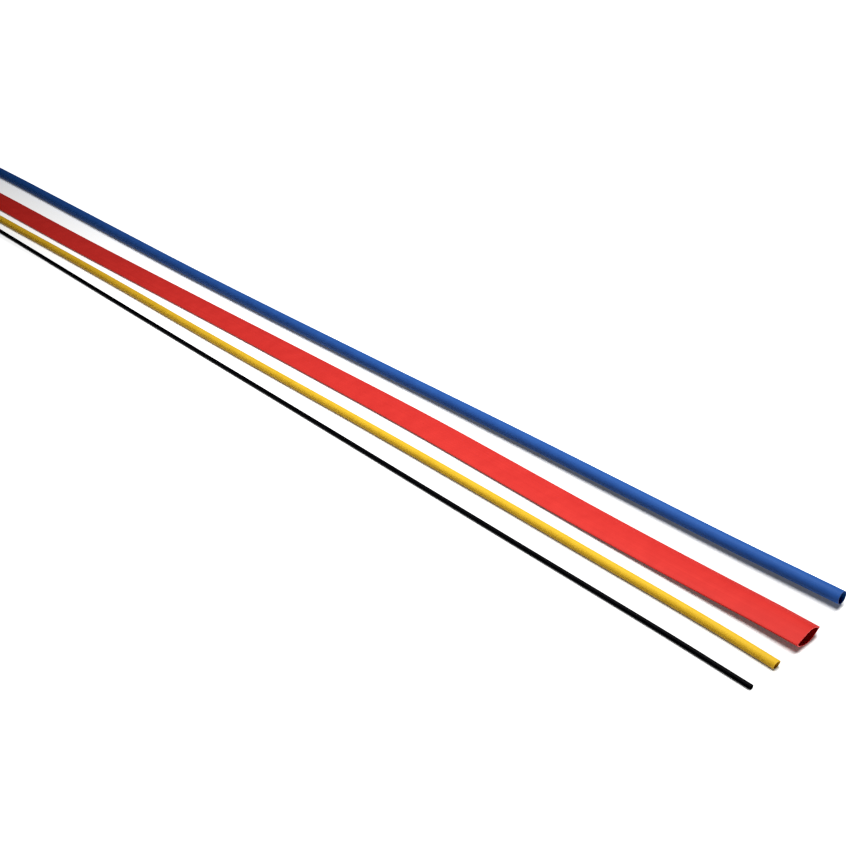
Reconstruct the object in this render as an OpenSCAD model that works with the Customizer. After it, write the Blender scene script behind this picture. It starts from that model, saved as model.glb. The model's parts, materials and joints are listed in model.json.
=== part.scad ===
// Four loose lengths of thin-wall heat-shrink tubing, laid side by side on a flat surface.
// They fan open towards their near ends, which point along +X. +Z is up, and the surface is at z = 0.
// From the back (+Y) to the front (-Y): blue, red, yellow, black. The red tube lies along X.
// The blue, yellow and black tubes are round. The red one is supplied flattened, and its near end gapes.

/* [Stock] */
// Length that every tube is cut to
cut_length = 1000; // [300:10:2400]

/* [Blue tube] */
// Bore as supplied, before it is shrunk
blue_bore = 6.4; // [4:0.1:12]
// Wall as supplied
blue_wall = 0.3; // [0.2:0.05:0.8]
// How far the near end lies behind the red tube's
blue_setback = 5; // [-40:0.1:40]

/* [Red tube] */
// Bore when the flattened tube is pressed round
red_bore = 12.3; // [10:0.1:25]
// Wall as supplied
red_wall = 0.35; // [0.2:0.05:0.8]
// Height of the tube where it lies flat
red_lay_height = 2; // [1.8:0.1:4]
// Height of its gaping near end
red_mouth_height = 7; // [5:0.1:8]
// Length over which the mouth closes down to the flat tube
red_gape_length = 200; // [60:10:280]
// Angle by which the near end is cut off square
red_cut_angle = 4.5; // [0:0.5:12]

/* [Yellow tube] */
// Bore as supplied, before it is shrunk
yellow_bore = 4.1; // [2.5:0.1:8]
// Wall as supplied
yellow_wall = 0.3; // [0.2:0.05:0.8]
// How far the near end lies behind the red tube's
yellow_setback = -0.5; // [-40:0.1:40]

/* [Black tube] */
// Bore as supplied, before it is shrunk
black_bore = 2; // [1.2:0.1:4]
// Wall as supplied
black_wall = 0.25; // [0.15:0.05:0.8]
// How far the near end lies behind the red tube's
black_setback = -0.8; // [-40:0.1:40]

/* [Fan] */
// Gap between the blue tube and the red one's flat width, at their near ends
blue_gap_near = 17.2; // [1:0.1:60]
// Gap between the blue and red tubes at their far ends
blue_gap_far = 12.1; // [1:0.1:60]
// Gap between the yellow tube and the red one's flat width, at their near ends
yellow_gap_near = 14.5; // [1:0.1:60]
// Gap between the red and yellow tubes at their far ends
yellow_gap_far = 4.5; // [0.6:0.1:60]
// Gap between the yellow and black tubes at their near ends
black_gap_near = 16.7; // [1:0.1:60]
// Gap between the yellow and black tubes at their far ends
black_gap_far = 4; // [0.6:0.1:60]

/* [Hidden] */

// Sides of a drawn circle
round_sides = 96;
// How far a cutting shape runs past what it cuts
cut_through = 5;

blue_outer = blue_bore + 2 * blue_wall;
yellow_outer = yellow_bore + 2 * yellow_wall;
black_outer = black_bore + 2 * black_wall;

// How far the red tube is open at a distance from its near end: 1 at the mouth, 0 where it lies flat
function gape(along) = pow(max(0, 1 - along / red_gape_length), 2);
function red_half_height(along) =
    (red_lay_height + (red_mouth_height - red_lay_height) * gape(along)) / 2;

// Its wall keeps its girth as the section opens, and each of its two faces bulges as a parabola that takes
// half of the girth. A parabola of half width a and rise r is about 2 a + (4/3) r^2 / a long, which gives a.
red_half_girth = PI * (red_bore + red_wall) / 2;
function bulged_half_width(rise) =
    (red_half_girth + sqrt(pow(red_half_girth, 2) - 32 / 3 * pow(rise, 2))) / 4;
function red_half_width(along) = bulged_half_width(red_half_height(along) - red_wall / 2) + red_wall / 2;
red_flat_half_width = red_half_width(cut_length);
// At a fold the wall lies double, so the inside ends that much further in
red_fold = 2 * red_wall;

// Points round the red tube and rings along it, closer together where the mouth closes down
red_sides = 32;
red_gape_rings = 12;
red_flat_rings = 4;
red_flat_length = cut_length - red_gape_length;
red_places = concat(
    [for (i = [0 : red_gape_rings]) red_gape_length * i / red_gape_rings],
    [for (i = [1 : red_flat_rings]) red_gape_length + red_flat_length * i / red_flat_rings]
);

// Where each axis passes at the near and the far ends, measured across the row from the red tube's axis
blue_near_y = red_flat_half_width + blue_gap_near + blue_outer / 2;
blue_far_y = red_flat_half_width + blue_gap_far + blue_outer / 2;
yellow_near_y = -red_flat_half_width - yellow_gap_near - yellow_outer / 2;
yellow_far_y = -red_flat_half_width - yellow_gap_far - yellow_outer / 2;
black_near_y = yellow_near_y - yellow_outer / 2 - black_gap_near - black_outer / 2;
black_far_y = yellow_far_y - yellow_outer / 2 - black_gap_far - black_outer / 2;

function fan_angle(near_y, far_y) = asin((near_y - far_y) / cut_length);
blue_angle = fan_angle(blue_near_y, blue_far_y);
yellow_angle = fan_angle(yellow_near_y, yellow_far_y);
black_angle = fan_angle(black_near_y, black_far_y);

// The row's reach, so that its origin can sit in the middle of its floor area
function near_reach(setback, outer, angle) = outer / 2 * abs(sin(angle)) - setback;
function far_reach(setback, outer, angle) = -setback - cut_length * cos(angle) - outer / 2 * abs(sin(angle));
row_near_x = max(
    near_reach(blue_setback, blue_outer, blue_angle),
    red_half_width(0) * tan(red_cut_angle),
    near_reach(yellow_setback, yellow_outer, yellow_angle),
    near_reach(black_setback, black_outer, black_angle)
);
row_far_x = min(
    far_reach(blue_setback, blue_outer, blue_angle),
    -cut_length,
    far_reach(yellow_setback, yellow_outer, yellow_angle),
    far_reach(black_setback, black_outer, black_angle)
);
row_back_y = max(blue_near_y, blue_far_y) + blue_outer / 2 * cos(blue_angle);
row_front_y = min(black_near_y, black_far_y) - black_outer / 2 * cos(black_angle);
row_middle = [(row_near_x + row_far_x) / 2, (row_back_y + row_front_y) / 2, 0];

// A cylinder that starts at a place and runs towards the far ends, along -X
module lying_cylinder(start, length, radius) {
    translate(start)
        rotate([0, -90, 0])
            cylinder(h = length, r = radius, $fn = round_sides);
}

// A round length of tubing that lies on the surface, with its near end at near_x, near_y
module round_tube(bore, wall, near_x, near_y, angle) {
    outer = bore + 2 * wall;
    translate([near_x, near_y, outer / 2] - row_middle)
        rotate([0, 0, angle])
            difference() {
                lying_cylinder([0, 0, 0], cut_length, outer / 2);
                lying_cylinder([cut_through, 0, 0], cut_length + 2 * cut_through, bore / 2);
            }
}

// One ring of the red tube's skin: pointed at its two folds where it gapes, rounded where it lies flat.
// The angled cut leans the rings near the mouth.
function red_ring(along, fold, wall) =
    let (
        half_width = red_half_width(along) - fold,
        half_height = red_half_height(along) - wall,
        lean = tan(red_cut_angle) * max(0, 1 - along / red_gape_length)
    )
    [
        for (i = [0 : red_sides - 1])
            let (
                turn = 360 * i / red_sides,
                y = half_width * cos(turn),
                z = half_height * sign(sin(turn)) * pow(abs(sin(turn)), 1 + gape(along))
            )
            [-along - lean * y, y, red_half_height(along) + z]
    ];

// The red tube's two skins, and the rims that join them at its ends
module flattened_tube() {
    rings = len(red_places);
    outside = [for (along = red_places) each red_ring(along, 0, 0)];
    inside = [for (along = red_places) each red_ring(along, red_fold, red_wall)];
    function corner(skin, ring, side) = (skin * rings + ring) * red_sides + side % red_sides;
    function two_triangles(a, b, c, d) = [[a, b, c], [a, c, d]];
    skins = [
        for (ring = [0 : rings - 2], side = [0 : red_sides - 1])
            each concat(
                two_triangles(
                    corner(0, ring, side), corner(0, ring, side + 1),
                    corner(0, ring + 1, side + 1), corner(0, ring + 1, side)
                ),
                two_triangles(
                    corner(1, ring, side), corner(1, ring + 1, side),
                    corner(1, ring + 1, side + 1), corner(1, ring, side + 1)
                )
            )
    ];
    rims = [
        for (side = [0 : red_sides - 1])
            each concat(
                two_triangles(
                    corner(0, 0, side), corner(1, 0, side),
                    corner(1, 0, side + 1), corner(0, 0, side + 1)
                ),
                two_triangles(
                    corner(0, rings - 1, side), corner(0, rings - 1, side + 1),
                    corner(1, rings - 1, side + 1), corner(1, rings - 1, side)
                )
            )
    ];
    polyhedron(points = concat(outside, inside), faces = concat(skins, rims), convexity = 4);
}

module blue_tube() {
    color("royalblue")
        round_tube(blue_bore, blue_wall, -blue_setback, blue_near_y, blue_angle);
}

module red_tube() {
    color("crimson")
        translate(-row_middle)
            flattened_tube();
}

module yellow_tube() {
    color("gold")
        round_tube(yellow_bore, yellow_wall, -yellow_setback, yellow_near_y, yellow_angle);
}

module black_tube() {
    color("black")
        round_tube(black_bore, black_wall, -black_setback, black_near_y, black_angle);
}

blue_tube();
red_tube();
yellow_tube();
black_tube();
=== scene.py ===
# %% [markdown]
# # Four lengths of heat-shrink tubing
# Thin-wall tubing is sold in cut lengths. Four of them lie fanned out on a white sheet: blue, red, yellow
# and black. The red one is wide and comes flattened off its reel, and its near end gapes open. Each length
# is modelled as a real open tube with a wall, is bent the way it lies, and gets the satin skin of extruded
# polyolefin.

import json
import math

import bmesh
import bpy
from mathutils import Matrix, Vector


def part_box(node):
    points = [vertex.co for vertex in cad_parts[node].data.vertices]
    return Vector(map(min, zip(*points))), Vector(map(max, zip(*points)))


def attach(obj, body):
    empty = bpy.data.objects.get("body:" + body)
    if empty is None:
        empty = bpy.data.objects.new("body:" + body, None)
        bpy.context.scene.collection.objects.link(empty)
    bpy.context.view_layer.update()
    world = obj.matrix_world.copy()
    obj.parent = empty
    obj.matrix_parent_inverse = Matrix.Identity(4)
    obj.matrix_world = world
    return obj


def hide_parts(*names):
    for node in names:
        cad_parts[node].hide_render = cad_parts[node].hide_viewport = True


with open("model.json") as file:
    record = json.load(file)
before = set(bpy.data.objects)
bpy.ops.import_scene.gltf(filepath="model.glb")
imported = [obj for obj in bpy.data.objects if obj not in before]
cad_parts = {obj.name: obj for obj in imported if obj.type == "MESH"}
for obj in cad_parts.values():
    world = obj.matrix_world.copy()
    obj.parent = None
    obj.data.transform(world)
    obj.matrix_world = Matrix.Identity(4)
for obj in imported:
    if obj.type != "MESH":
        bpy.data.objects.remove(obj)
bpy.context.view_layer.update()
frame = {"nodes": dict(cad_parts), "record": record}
mounts = {mount["name"]: mount for mount in frame["record"]["mounts"]}
print("solids:", sorted(frame["nodes"]), "and open ends:", sorted(mounts))

# %% [markdown]
# ## The camera
# The photographer stood in front of the near ends and looked down along the row, so the tubes run away to
# the far left. The place is measured from the sheet under the red mouth. A camera could also be aimed with
# a constraint, but two angles are enough: how far it looks down, and how far it is turned from the back of
# the row to the left.

# %% Camera
MM = 0.001
red_mouth = Vector(mounts["red_mouth"]["pos_m"])
red_foot = Vector((red_mouth.x, red_mouth.y, 0))
camera_reach = Vector((228.2, -450.5, 387.2)) * MM
look_down = math.radians(30.24)
turn_left = math.radians(46.85)
film_width = 36
focal_length = 56.9
bpy.ops.object.camera_add(
    location=red_foot + camera_reach,
    rotation=(math.pi / 2 - look_down, 0, turn_left),
)
camera = bpy.context.object
camera.name = "row_camera"
camera.data.sensor_width = film_width
camera.data.lens = focal_length
bpy.context.scene.camera = camera
print("camera at", [round(x, 3) for x in camera.location], "with a lens of", focal_length, "mm")

# %% [markdown]
# ## How the tubes lie
# Tubing remembers its reel, so no length is quite straight. Each route is a Bezier curve through a few
# places: how far from the near end, how far the tube bows towards the back of the row, and how far it lifts
# off the sheet, all in millimetres. The curve runs from the far end to the near end, so that the row's own
# directions, back and up, stay the tube's. A handful of points with automatic handles gives the long, lazy
# bends that a springy tube makes.

# %% Route maker
CUT_LENGTH = mounts["blue_bore"]["dims"]["length_mm"] * MM
UP = Vector((0, 0, 1))
CURVE_STEPS = 24


def lay_route(name, mount, height, places):
    """A curve from the far end to the near end of a length that starts at a mount."""
    along = Vector(mount["axis"])
    back = UP.cross(along)
    near_end = Vector((mount["pos_m"][0], mount["pos_m"][1], height))
    bpy.ops.object.select_all(action="DESELECT")
    bpy.ops.curve.primitive_bezier_curve_add()
    route = bpy.context.object
    route.name = name
    route.data.twist_mode = "Z_UP"
    route.data.resolution_u = CURVE_STEPS
    points = route.data.splines[0].bezier_points
    points.add(len(places) - len(points))
    for point, (distance, bow, lift) in zip(points, reversed(places)):
        point.co = near_end + (UP * lift + back * bow - along * distance) * MM
        point.handle_left_type = "AUTO"
        point.handle_right_type = "AUTO"
    return route


print("every length is cut to", CUT_LENGTH, "m")

# %% [markdown]
# ## The routes at the back
# The blue and the red tube curl up at their near ends by about two millimetres, which is why their shadows
# are wider there. A round tube's route is its axis, so it lies one radius above the sheet. The red tube's
# route is the line that its underside lies on, because its height changes along it.

# %% Blue and red routes
blue_radius = mounts["blue_bore"]["pos_m"][2]
red_underside = 0
blue_route = lay_route(
    "blue_route",
    mounts["blue_bore"],
    blue_radius,
    [
        (-1.1, -1.3, 2.5), (60, -2.2, 2.2), (130, -2.0, 2.0), (200, -1.7, 1.7), (330, -2.6, 1.2),
        (450, -3.1, 0.8), (530, -2.6, 0.5), (610, -1.2, 0.3), (690, 0.3, 0.1), (790, 1.7, 0), (998.9, 1, 0),
    ],
)
red_route = lay_route(
    "red_route",
    mounts["red_mouth"],
    red_underside,
    [
        (-0.8, -4.8, 1.4), (20, -3.7, 1.1), (50, -2.9, 0.7), (115, -1.4, 0.2), (200, 1, 0), (255, 2.2, 0),
        (355, 1.9, 0), (480, 0.4, 0), (560, -0.8, 0), (640, -1.6, 0), (730, -1.4, 0), (999.2, -1, 0),
    ],
)
print("blue axis", round(blue_radius / MM, 2), "mm above the sheet where it lies flat")

# %% [markdown]
# ## The routes at the front
# The yellow and the black tube are light and thin, so they lie flat on the sheet all along and only wander
# sideways.

# %% Yellow and black routes
yellow_radius = mounts["yellow_bore"]["pos_m"][2]
black_radius = mounts["black_bore"]["pos_m"][2]
yellow_route = lay_route(
    "yellow_route",
    mounts["yellow_bore"],
    yellow_radius,
    [
        (0, -1.6, 0), (25, -0.5, 0), (60, 0.3, 0), (100, 0.6, 0), (180, 1.3, 0), (275, 1.4, 0), (390, 0.4, 0),
        (455, 0.2, 0), (530, 0.5, 0), (610, 0.1, 0), (700, -1.1, 0), (1000, -0.8, 0),
    ],
)
black_route = lay_route(
    "black_route",
    mounts["black_bore"],
    black_radius,
    [
        (0, -0.3, 0), (45, 0.4, 0), (80, 0.4, 0), (150, 0.2, 0), (310, 0.1, 0), (500, -0.5, 0),
        (680, -0.3, 0), (1000, -0.2, 0),
    ],
)
for colour, radius in (("yellow", yellow_radius), ("black", black_radius)):
    print(colour, "axis", round(radius / MM, 2), "mm above the sheet")

# %% [markdown]
# ## A straight open tube
# An extruder presses soft plastic through a ring-shaped die, and the tube is then cut with a blade. In
# Blender an open cylinder is the outer skin. Its long edges are subdivided into rings, so that it can bend.
# A Solidify modifier gives the wall its thickness towards the inside, and a small bevel takes the sharpness
# off both cut lips. A curve with a bevel would be quicker, but it has no wall and no open end to look into.
# Both edit steps need edges to be chosen first, by where their two corners are.

# %% Choosing edges
SAME_END = 0.01 * MM
SAME_SKIN = 0.05 * MM


def choose_edges(tube, wanted):
    """Select the edges in edit mode whose two corners pass a test."""
    bpy.ops.mesh.select_mode(type="EDGE")
    bpy.ops.mesh.select_all(action="DESELECT")
    edit = bmesh.from_edit_mesh(tube.data)
    for edge in edit.edges:
        edge.select_set(wanted(edge.verts[0].co, edge.verts[1].co))
    bmesh.update_edit_mesh(tube.data)


def runs_along(a, b):
    return abs(a.x - b.x) > CUT_LENGTH / 2


def goes_round_a_lip(a, b):
    at_an_end = abs(a.x - b.x) < SAME_END and min(a.x, CUT_LENGTH - a.x) < SAME_END
    on_one_skin = abs(math.hypot(a.y, a.z) - math.hypot(b.y, b.z)) < SAME_SKIN
    return at_an_end and on_one_skin


# %% Tube maker
SIDES = 72
RINGS = 100
INWARDS = -1
LIP_SEGMENTS = 2
SMOOTH_BELOW = math.radians(40)


def open_tube(name, outer_radius, wall, lip):
    """A straight tube along X: the far end at 0, the near end at the cut length."""
    bpy.ops.object.select_all(action="DESELECT")
    bpy.ops.mesh.primitive_cylinder_add(
        vertices=SIDES,
        radius=outer_radius,
        depth=CUT_LENGTH,
        end_fill_type="NOTHING",
        location=(CUT_LENGTH / 2, 0, 0),
        rotation=(0, math.pi / 2, 0),
    )
    tube = bpy.context.object
    tube.name = name
    bpy.ops.object.transform_apply(location=True, rotation=True, scale=True)
    bpy.ops.object.mode_set(mode="EDIT")
    choose_edges(tube, runs_along)
    bpy.ops.mesh.subdivide(number_cuts=RINGS - 1)
    bpy.ops.object.mode_set(mode="OBJECT")
    solid = tube.modifiers.new("wall", "SOLIDIFY")
    solid.thickness = wall
    solid.offset = INWARDS
    solid.use_even_offset = True
    bpy.ops.object.modifier_apply(modifier=solid.name)
    bpy.ops.object.mode_set(mode="EDIT")
    choose_edges(tube, goes_round_a_lip)
    bpy.ops.mesh.bevel(offset=lip, segments=LIP_SEGMENTS, affect="EDGES")
    bpy.ops.object.mode_set(mode="OBJECT")
    bpy.ops.object.shade_smooth_by_angle(angle=SMOOTH_BELOW)
    return tube


print("a tube has", SIDES, "sides and", RINGS, "rings,", round(CUT_LENGTH / RINGS / MM, 1), "mm apart")

# %% [markdown]
# ## Remember the straight tube
# The skin carries fine lines that the die drew along it while it was still straight. If the finish read the
# bent shape, those lines would run off the tube. So the straight place of every corner is kept on the mesh
# as an attribute before anything is bent, and the finishes read that.

# %% Straight places


def keep_straight(tube):
    places = tube.data.attributes.new("straight", "FLOAT_VECTOR", "POINT")
    flat = [number for corner in tube.data.vertices for number in corner.co]
    places.data.foreach_set("vector", flat)


# %% [markdown]
# ## Bend a tube along its route
# A Curve modifier carries the straight mesh onto the route and keeps its sections square to it. It is
# applied, so the place is in the mesh itself, and the route is no longer needed.

# %% Bending


def bend(tube, route):
    bender = tube.modifiers.new("route", "CURVE")
    bender.object = route
    bender.deform_axis = "POS_X"
    bpy.ops.object.select_all(action="DESELECT")
    tube.select_set(True)
    bpy.context.view_layer.objects.active = tube
    bpy.ops.object.modifier_apply(modifier=bender.name)
    bpy.data.objects.remove(route)


# %% [markdown]
# ## Each tube in place of its solid
# A length of tubing lies loose, like a stiff cord. It takes the place of one of the solids, which is hidden,
# and moves with that solid's body. The middles of the rings are read back from the finished mesh. They are
# the line that the tube follows, and its length is measured along them.

# %% Declaring
RINGS_PER_STEP = 4
RING_SLACK = 0.2 * MM


def ring_middles(tube):
    """The middle of every fourth ring, from the near end to the far end."""
    step = RINGS_PER_STEP * CUT_LENGTH / RINGS
    rings = {}
    for corner, place in zip(tube.data.vertices, tube.data.attributes["straight"].data):
        ring = place.vector.x / step
        if abs(ring - round(ring)) * step < RING_SLACK:
            rings.setdefault(round(ring), []).append(corner.co)
    return [sum(rings[ring], Vector()) / len(rings[ring]) for ring in sorted(rings, reverse=True)]


def declare(tube, node, body):
    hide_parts(node)
    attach(tube, body)
    middles = ring_middles(tube)
    run = sum((b - a).length for a, b in zip(middles, middles[1:]))
    print(tube.name, "runs", round(run, 4), "m from", [round(x, 4) for x in middles[0]])


# %% [markdown]
# ## The blue tube
# The blue length keeps the round shape that it was extruded in. Its wall is what lies between its bore and
# its outside, 0.3 mm, which is usual for thin-wall tubing of this size.

# %% Blue tube
blue_wall = blue_radius - mounts["blue_bore"]["dims"]["r_mm"] * MM
blue_lip = 0.07 * MM
blue_tube = open_tube("blue_length", blue_radius, blue_wall, blue_lip)
keep_straight(blue_tube)
bend(blue_tube, blue_route)
declare(blue_tube, "blue_tube", "blue_tube")

# %% [markdown]
# ## The yellow tube
# The yellow length is round too. The blade leaned over when it cut the near end, so the top lip runs on
# past the bottom one. A slanted Bisect would take the bevelled lip off, so the last rings are moved by a
# rule instead, which fades out over 10 mm.

# %% Yellow tube
yellow_wall = yellow_radius - mounts["yellow_bore"]["dims"]["r_mm"] * MM
yellow_lip = 0.07 * MM
yellow_tube = open_tube("yellow_length", yellow_radius, yellow_wall, yellow_lip)
keep_straight(yellow_tube)
lean_of_cut = math.tan(math.radians(13))
cut_reach = 10 * MM
for corner in yellow_tube.data.vertices:
    share = max(0, 1 - (CUT_LENGTH - corner.co.x) / cut_reach)
    corner.co.x += lean_of_cut * share * corner.co.z
bend(yellow_tube, yellow_route)
declare(yellow_tube, "yellow_tube", "yellow_tube")

# %% [markdown]
# ## The black tube
# The black length is the thinnest one, about as thick as a matchstick. It is made like the blue one, with a
# slightly thinner wall.

# %% Black tube
black_wall = black_radius - mounts["black_bore"]["dims"]["r_mm"] * MM
black_lip = 0.06 * MM
black_tube = open_tube("black_length", black_radius, black_wall, black_lip)
keep_straight(black_tube)
bend(black_tube, black_route)
declare(black_tube, "black_tube", "black_tube")

# %% [markdown]
# ## The flattened red tube
# The red length is extruded round too, and is pressed flat when it is wound on its reel. Its girth stays
# the same, so the lower it is pressed, the wider it gets. Over the last 200 mm it springs open into a
# mouth. Away from the mouth its width eases off by a tenth. Each of its two faces is taken as a shallow
# arch with half of the girth. An arch of half width a and rise r is about 2 a + 4/3 r^2 / a long, and
# solving that for a gives the width.

# %% Sizes of the red tube
red_bore = 12.3 * MM
red_wall = 0.35 * MM
red_radius = red_bore / 2 + red_wall
half_girth = math.pi * (red_bore + red_wall) / 2
mouth_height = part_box("red_tube")[1][2]
lay_height = 2.4 * MM
gape_length = 200 * MM
narrowing = 0.1
narrowing_length = 280 * MM


def gape(distance):
    """How open the tube is at a distance from its near end: 1 at the mouth, 0 where it lies flat."""
    return max(0, 1 - distance / gape_length) ** 2


def smooth(share):
    """A gentle step from 0 to 1."""
    share = min(1, max(0, share))
    return share * share * (3 - 2 * share)


def half_height(distance):
    return (lay_height + (mouth_height - lay_height) * gape(distance)) / 2


def half_width(distance):
    """Half the width that the arches give, less the narrowing."""
    rise = half_height(distance) - red_wall / 2
    width = (half_girth + math.sqrt(half_girth**2 - 32 / 3 * rise**2)) / 4 + red_wall / 2
    return width * (1 - narrowing * smooth((distance - gape_length) / narrowing_length))


for end, distance in (("mouth", 0), ("far end", CUT_LENGTH)):
    print("red tube is", round(2 * half_width(distance) / MM, 2), "mm wide at its", end)

# %% [markdown]
# ## Pressing it
# It is made the way the factory does it: first as a round tube, and then pressed. The mouth is a lens that
# stays pinched at its folds, the back one more than the front one. The folds ride up a little there, the
# upper lip leans to the back and sags, and the cut is a few degrees off square. Pressing it ring by ring
# with Scale would give ellipses only, so the corners are moved by a rule instead. At a fold the wall lies
# double, so the inside ends two walls further in.

# %% Red tube
red_lip = 0.08 * MM
walls_in_a_fold = 2
fold_rise = 0.35 * MM
lip_lean = 0.35
lip_sag = 0.12
back_pinch = 0.8
cut_slope = math.tan(math.radians(4.5))


def press(place):
    """Where a corner of the round tube goes when the tube is pressed."""
    distance = CUT_LENGTH - place.x
    radius = math.hypot(place.y, place.z)
    across = place.y / radius
    upward = place.z / radius
    depth = (red_radius - radius) / red_wall
    open_by = gape(distance)
    y = (half_width(distance) - walls_in_a_fold * red_wall * depth) * across
    pinch = 1 + open_by * (1 + back_pinch * across)
    arch = math.copysign(abs(upward) ** pinch, upward)
    if upward > 0:
        arch *= 1 + open_by * (lip_lean * across - lip_sag)
    bulge = (half_height(distance) - red_wall * depth) * arch
    x = place.x - cut_slope * max(0, 1 - distance / gape_length) * y
    return Vector((x, y, half_height(distance) + bulge + fold_rise * open_by * across**2))


red_tube = open_tube("red_length", red_radius, red_wall, red_lip)
keep_straight(red_tube)
for corner in red_tube.data.vertices:
    corner.co = press(corner.co)
bend(red_tube, red_route)
declare(red_tube, "red_tube", "red_tube")

# %% [markdown]
# ## Helpers for the finishes
# A finish is a net of small nodes, and a few kinds come back again and again: a Math node, a Map Range node
# that turns one range of numbers into another, a Mix node between two colours, and a Noise Texture. Each
# gets a helper that adds the node, feeds it and hands on its output. What is fed is another node's output
# or a constant.

# %% Node helpers


def feed(tree, socket, value):
    """Link another node's output to a socket, or set the socket to a constant."""
    if isinstance(value, bpy.types.NodeSocket):
        tree.links.new(value, socket)
    else:
        socket.default_value = value


def calculate(tree, operation, *values):
    node = tree.nodes.new("ShaderNodeMath")
    node.operation = operation
    for socket, value in zip(node.inputs, values):
        feed(tree, socket, value)
    return node.outputs["Value"]


def remap(tree, value, low, high, to_low=0, to_high=1):
    """What runs from low to high runs from to_low to to_high."""
    node = tree.nodes.new("ShaderNodeMapRange")
    feed(tree, node.inputs["Value"], value)
    feed(tree, node.inputs["From Min"], low)
    feed(tree, node.inputs["From Max"], high)
    feed(tree, node.inputs["To Min"], to_low)
    feed(tree, node.inputs["To Max"], to_high)
    return node.outputs["Result"]


def blend(tree, share, first, second):
    """A colour between two others."""
    node = tree.nodes.new("ShaderNodeMix")
    node.data_type = "RGBA"
    feed(tree, node.inputs["Factor"], share)
    feed(tree, node.inputs["A"], first)
    feed(tree, node.inputs["B"], second)
    return node.outputs["Result"]


def noise(tree, place, scale, detail):
    node = tree.nodes.new("ShaderNodeTexNoise")
    feed(tree, node.inputs["Vector"], place)
    feed(tree, node.inputs["Scale"], scale)
    feed(tree, node.inputs["Detail"], detail)
    return node.outputs["Fac"]


# %% [markdown]
# ## Lines from the die
# Every nick in the die draws a fine line along the tube. The lines are noise that is stretched some four
# hundredfold along the straight tube, and a Bump node makes them shallow grooves. That is cheaper than
# modelling lines a few hundredths of a millimetre deep.

# %% Die lines
LINE_STRETCH = (6, 2600, 2600)
LINE_SCALE = 1
LINE_DETAIL = 3
LINE_STRENGTH = 0.15
LINE_DEPTH = 0.03 * MM


def die_lines(tree, straight):
    stretch = tree.nodes.new("ShaderNodeMapping")
    feed(tree, stretch.inputs["Vector"], straight)
    feed(tree, stretch.inputs["Scale"], LINE_STRETCH)
    return noise(tree, stretch.outputs["Vector"], LINE_SCALE, LINE_DETAIL)


def grooves(tree, lines):
    groove = tree.nodes.new("ShaderNodeBump")
    feed(tree, groove.inputs["Strength"], LINE_STRENGTH)
    feed(tree, groove.inputs["Distance"], LINE_DEPTH)
    feed(tree, groove.inputs["Height"], lines)
    return groove.outputs["Normal"]


# %% [markdown]
# ## Pigment and cut lips
# The pigment is not mixed in quite evenly, so the colour clouds a little where the lines and a coarser
# noise are both strong. Where the blade went through, a narrow band at each end is paler: partly the chalkier
# colour of a fresh cut, partly a painted highlight where the lips catch the light. Painting the lip faces
# with a second material would do too, but a band that is read from the straight place needs no chosen faces.

# %% Pigment and cuts
CLOUD_SCALE = 140
CLOUD_DETAIL = 5
CLEAR_BELOW = 0.12
CLOUDED_ABOVE = 0.4
CUT_BAND = 0.12 * MM
FULL_CUT_BAND = 0.04 * MM


def pigment(tree, lines, clouds, colour, cloud):
    both = calculate(tree, "MULTIPLY", lines, clouds)
    tint = remap(tree, both, CLEAR_BELOW, CLOUDED_ABOVE)
    return blend(tree, tint, (*colour, 1), (*cloud, 1))


def highlighted_cut_lips(tree, straight):
    """1 on the cut lips at both ends, which get a paler colour and a painted highlight, 0 on the rest of the
    tube.
    """
    apart = tree.nodes.new("ShaderNodeSeparateXYZ")
    feed(tree, apart.inputs["Vector"], straight)
    offset = calculate(tree, "SUBTRACT", apart.outputs["X"], CUT_LENGTH / 2)
    from_middle = calculate(tree, "ABSOLUTE", offset)
    return remap(tree, from_middle, CUT_LENGTH / 2 - CUT_BAND, CUT_LENGTH / 2 - FULL_CUT_BAND)


# %% [markdown]
# ## Extruded polyolefin
# The skin is satin: it takes the light broadly, with hardly any highlight, and is a little rougher where
# the pigment clouds. One maker puts the lines, the pigment and the cut lips together for all four colours.

# %% Finish maker
PLASTIC_IOR = 1.5
SMOOTHEST = 0.54
ROUGHEST = 0.66


def polyolefin(name, colour, cloud, cut, gloss):
    """A satin skin: its colour, what it clouds to, the paler colour of its cut lips, partly a painted
    highlight, and how much it shines.
    """
    finish = bpy.data.materials.new(name)
    finish.use_nodes = True
    tree = finish.node_tree
    shader = tree.nodes["Principled BSDF"]
    attribute = tree.nodes.new("ShaderNodeAttribute")
    attribute.attribute_name = "straight"
    straight = attribute.outputs["Vector"]
    lines = die_lines(tree, straight)
    clouds = noise(tree, straight, CLOUD_SCALE, CLOUD_DETAIL)
    skin = pigment(tree, lines, clouds, colour, cloud)
    # paler cut lips: the colour of a fresh cut and a painted highlight
    edge = blend(tree, highlighted_cut_lips(tree, straight), skin, (*cut, 1))
    feed(tree, shader.inputs["Base Color"], edge)
    feed(tree, shader.inputs["Roughness"], remap(tree, clouds, 0, 1, SMOOTHEST, ROUGHEST))
    feed(tree, shader.inputs["Normal"], grooves(tree, lines))
    feed(tree, shader.inputs["IOR"], PLASTIC_IOR)
    feed(tree, shader.inputs["Specular IOR Level"], gloss)
    return finish


# %% [markdown]
# ## The four colours
# The blue, red and yellow skins shine alike. The black one is duller and very dark, because its pigment is
# soot.

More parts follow.
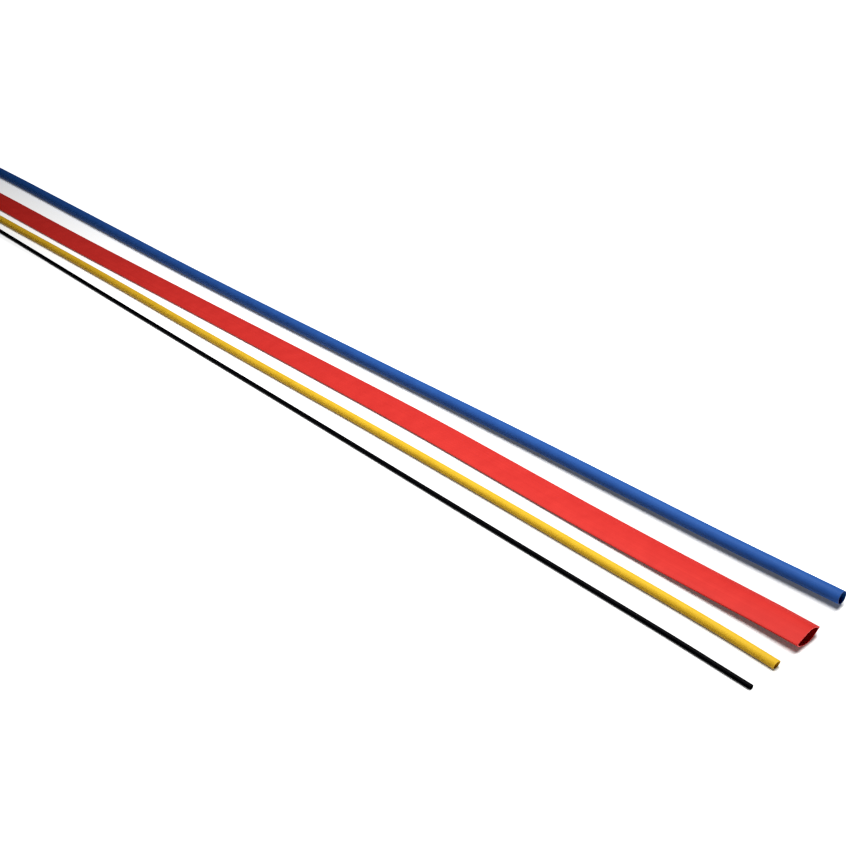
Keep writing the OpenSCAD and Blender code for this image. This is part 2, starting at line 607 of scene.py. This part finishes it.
# %% Finishes
SATIN = 0.12
DULL = 0.05
blue_skin = polyolefin(
    "blue_satin",
    colour=(0.028, 0.084, 0.245),
    cloud=(0.034, 0.098, 0.275),
    cut=(0.08, 0.10, 0.20),
    gloss=SATIN,
)
red_skin = polyolefin(
    "red_satin",
    colour=(0.42, 0.037, 0.032),
    cloud=(0.47, 0.044, 0.037),
    cut=(0.60, 0.09, 0.09),
    gloss=SATIN,
)
yellow_skin = polyolefin(
    "yellow_satin",
    colour=(0.52, 0.325, 0.03),
    cloud=(0.57, 0.365, 0.04),
    cut=(0.48, 0.33, 0.08),
    gloss=SATIN,
)
black_skin = polyolefin(
    "black_satin",
    colour=(0.006, 0.006, 0.0065),
    cloud=(0.010, 0.010, 0.011),
    cut=(0.018, 0.018, 0.018),
    gloss=DULL,
)
for tube, skin in (
    (blue_tube, blue_skin),
    (red_tube, red_skin),
    (yellow_tube, yellow_skin),
    (black_tube, black_skin),
):
    tube.data.materials.clear()
    tube.data.materials.append(skin)
    print(tube.name, len(tube.data.polygons), "faces in", skin.name)

# %% [markdown]
# ## The white sheet
# The row lies on a sheet that shows as pure white around it. Only between the tubes, far from the lamp,
# does it turn a little grey. The paper's colour is painted light: it is a pale grey right under the lamp,
# which bleaches it, and whiter further away, to make up for the lamp's fall-off. White paper under the lamp
# would throw so much light back that the undersides of the tubes would lose their shade.

# %% Sheet
SHEET_SIZE = 8
PAPER_ROUGHNESS = 0.9
PAPER_GLOSS = 0.1
bpy.ops.object.select_all(action="DESELECT")
bpy.ops.mesh.primitive_plane_add(size=SHEET_SIZE)
sheet = bpy.context.object
sheet.name = "white_sheet"
paper = bpy.data.materials.new("white_paper")
paper.use_nodes = True
sheet.data.materials.append(paper)
paper_tree = paper.node_tree
paper_shader = paper_tree.nodes["Principled BSDF"]
feed(paper_tree, paper_shader.inputs["Roughness"], PAPER_ROUGHNESS)
feed(paper_tree, paper_shader.inputs["Specular IOR Level"], PAPER_GLOSS)
print(sheet.name, "is", SHEET_SIZE, "m wide")

# %% Whiteness of the paper
WHITE = 0.9
PALE_GREY = 0.6
white_from = red_mouth.x - 0.5
grey_from = red_mouth.x - 0.2
coordinates = paper_tree.nodes.new("ShaderNodeTexCoord")
sheet_place = coordinates.outputs["Object"]
apart = paper_tree.nodes.new("ShaderNodeSeparateXYZ")
feed(paper_tree, apart.inputs["Vector"], sheet_place)
sheet_x = apart.outputs["X"]
sheet_y = apart.outputs["Y"]
# painted light: the paper is whiter away from the lamp, to make up for its fall-off
painted_light_whiteness = remap(paper_tree, sheet_x, white_from, grey_from, WHITE, PALE_GREY)
feed(paper_tree, paper_shader.inputs["Base Color"], painted_light_whiteness)
print("paper turns from white to grey between x =", round(white_from, 3), "and", round(grey_from, 3))

# %% [markdown]
# ## Painted glow beside the row
# Outside the row the sheet is painted with a glow, though it is no lamp, so that it is as white there as
# right under the lamp. More lamps would do that too, but they would fill in the shadows. The glow starts
# just behind the blue tube and just before the black one. All along the row a little of it is painted
# light between the tubes, which lightens their shadows.

# %% Glow beside the row
# painted light in the row: a weak glow that lightens the tubes' shadows
PAINTED_GLOW_IN_ROW = 0.1
behind_from = 1 * MM
behind_full = 8 * MM
before_from = 4 * MM
before_full = 18 * MM
back_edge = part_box("blue_tube")[1][1]
behind = remap(paper_tree, sheet_y, back_edge + behind_from, back_edge + behind_full, PAINTED_GLOW_IN_ROW)
to_front = Vector(mounts["black_bore"]["axis"]).cross(UP)
front_edge = Vector(mounts["black_bore"]["pos_m"]).dot(to_front)
front = paper_tree.nodes.new("ShaderNodeVectorMath")
front.operation = "DOT_PRODUCT"
feed(paper_tree, front.inputs[0], sheet_place)
feed(paper_tree, front.inputs[1], to_front)
before = remap(paper_tree, front.outputs["Value"], front_edge + before_from, front_edge + before_full)
beside = calculate(paper_tree, "ADD", behind, before)
print("sheet glows behind y =", round(back_edge, 4), "and before the black tube")

# %% [markdown]
# ## Painted glow past the ends
# The painted glow also fills the sheet past both ends of the row. At the near ends it starts right at the
# cuts: on a line from the blue end to the red one, and straight on from there to the front. There it washes
# out the shadows, so hardly any shadow lies in front of the open ends.

# %% Glow past the ends
past_from = 5 * MM
past_full = 30 * MM
near_from = -0.5 * MM
near_full = 2 * MM
from_middle = calculate(paper_tree, "ABSOLUTE", sheet_x)
past = remap(paper_tree, from_middle, red_mouth.x + past_from, red_mouth.x + past_full)
blue_end = Vector(mounts["blue_bore"]["pos_m"])
near_line = remap(paper_tree, sheet_y, red_mouth.y, blue_end.y, red_mouth.x, blue_end.x)
beyond = calculate(paper_tree, "SUBTRACT", sheet_x, near_line)
# painted light: from the near cuts on, the sheet glows and washes out the shadows in front of the open ends
near = remap(paper_tree, beyond, near_from, near_full)
ends = calculate(paper_tree, "MAXIMUM", past, near)
# painted light: the sheet glows beside the row, past the ends and weakly between the tubes, though it is no
# lamp
glow = calculate(paper_tree, "MAXIMUM", beside, ends)
feed(paper_tree, paper_shader.inputs["Emission Color"], (1, 1, 1, 1))
feed(paper_tree, paper_shader.inputs["Emission Strength"], glow)
print("paper has", len(paper_tree.nodes), "nodes")

# %% [markdown]
# ## The lamp
# One soft, round lamp hangs over the row, near the open ends. So the tops are bright, the sides fall away,
# a narrow shadow lies along each tube, and the far ends are dimmer.

# %% Lamp
lamp_height = 0.62
lamp_width = 0.5
lamp_watts = 8.3
lamp_x = red_mouth.x - 0.17
lamp_y = -0.02
lamp_place = Vector((lamp_x, lamp_y, lamp_height))
lamp_aim = Vector((lamp_x, 0, 0))
bpy.ops.object.light_add(
    type="AREA",
    location=lamp_place,
    rotation=(lamp_aim - lamp_place).to_track_quat("-Z", "Y").to_euler(),
)
lamp = bpy.context.object
lamp.name = "overhead_lamp"
lamp.data.shape = "DISK"
lamp.data.size = lamp_width
lamp.data.energy = lamp_watts
print("lamp of", lamp_watts, "W at", [round(x, 2) for x in lamp.location])

# %% [markdown]
# ## The room and the print
# A weak even light from all round stands for the pale room. A catalogue picture is printed with more
# contrast than the eye sees, and a curve with a low toe does the same.

# %% Room and contrast
ROOM_LIGHT = 0.07
BLACK_POINT = 0.012
TONES = ((0.1, 0.07), (0.35, 0.32), (0.7, 0.7))
COMBINED_CURVE = 3
room = bpy.data.worlds.new("pale_room")
room.use_nodes = True
background = room.node_tree.nodes["Background"]
background.inputs["Color"].default_value = (1, 1, 1, 1)
background.inputs["Strength"].default_value = ROOM_LIGHT
bpy.context.scene.world = room
view = bpy.context.scene.view_settings
view.view_transform = "Standard"
view.use_curve_mapping = True
view.curve_mapping.black_level = (BLACK_POINT, BLACK_POINT, BLACK_POINT)
contrast = view.curve_mapping.curves[COMBINED_CURVE]
for light, shown in TONES:
    contrast.points.new(light, shown)
view.curve_mapping.update()
print("room light", ROOM_LIGHT, "and a contrast curve of", len(contrast.points), "points")
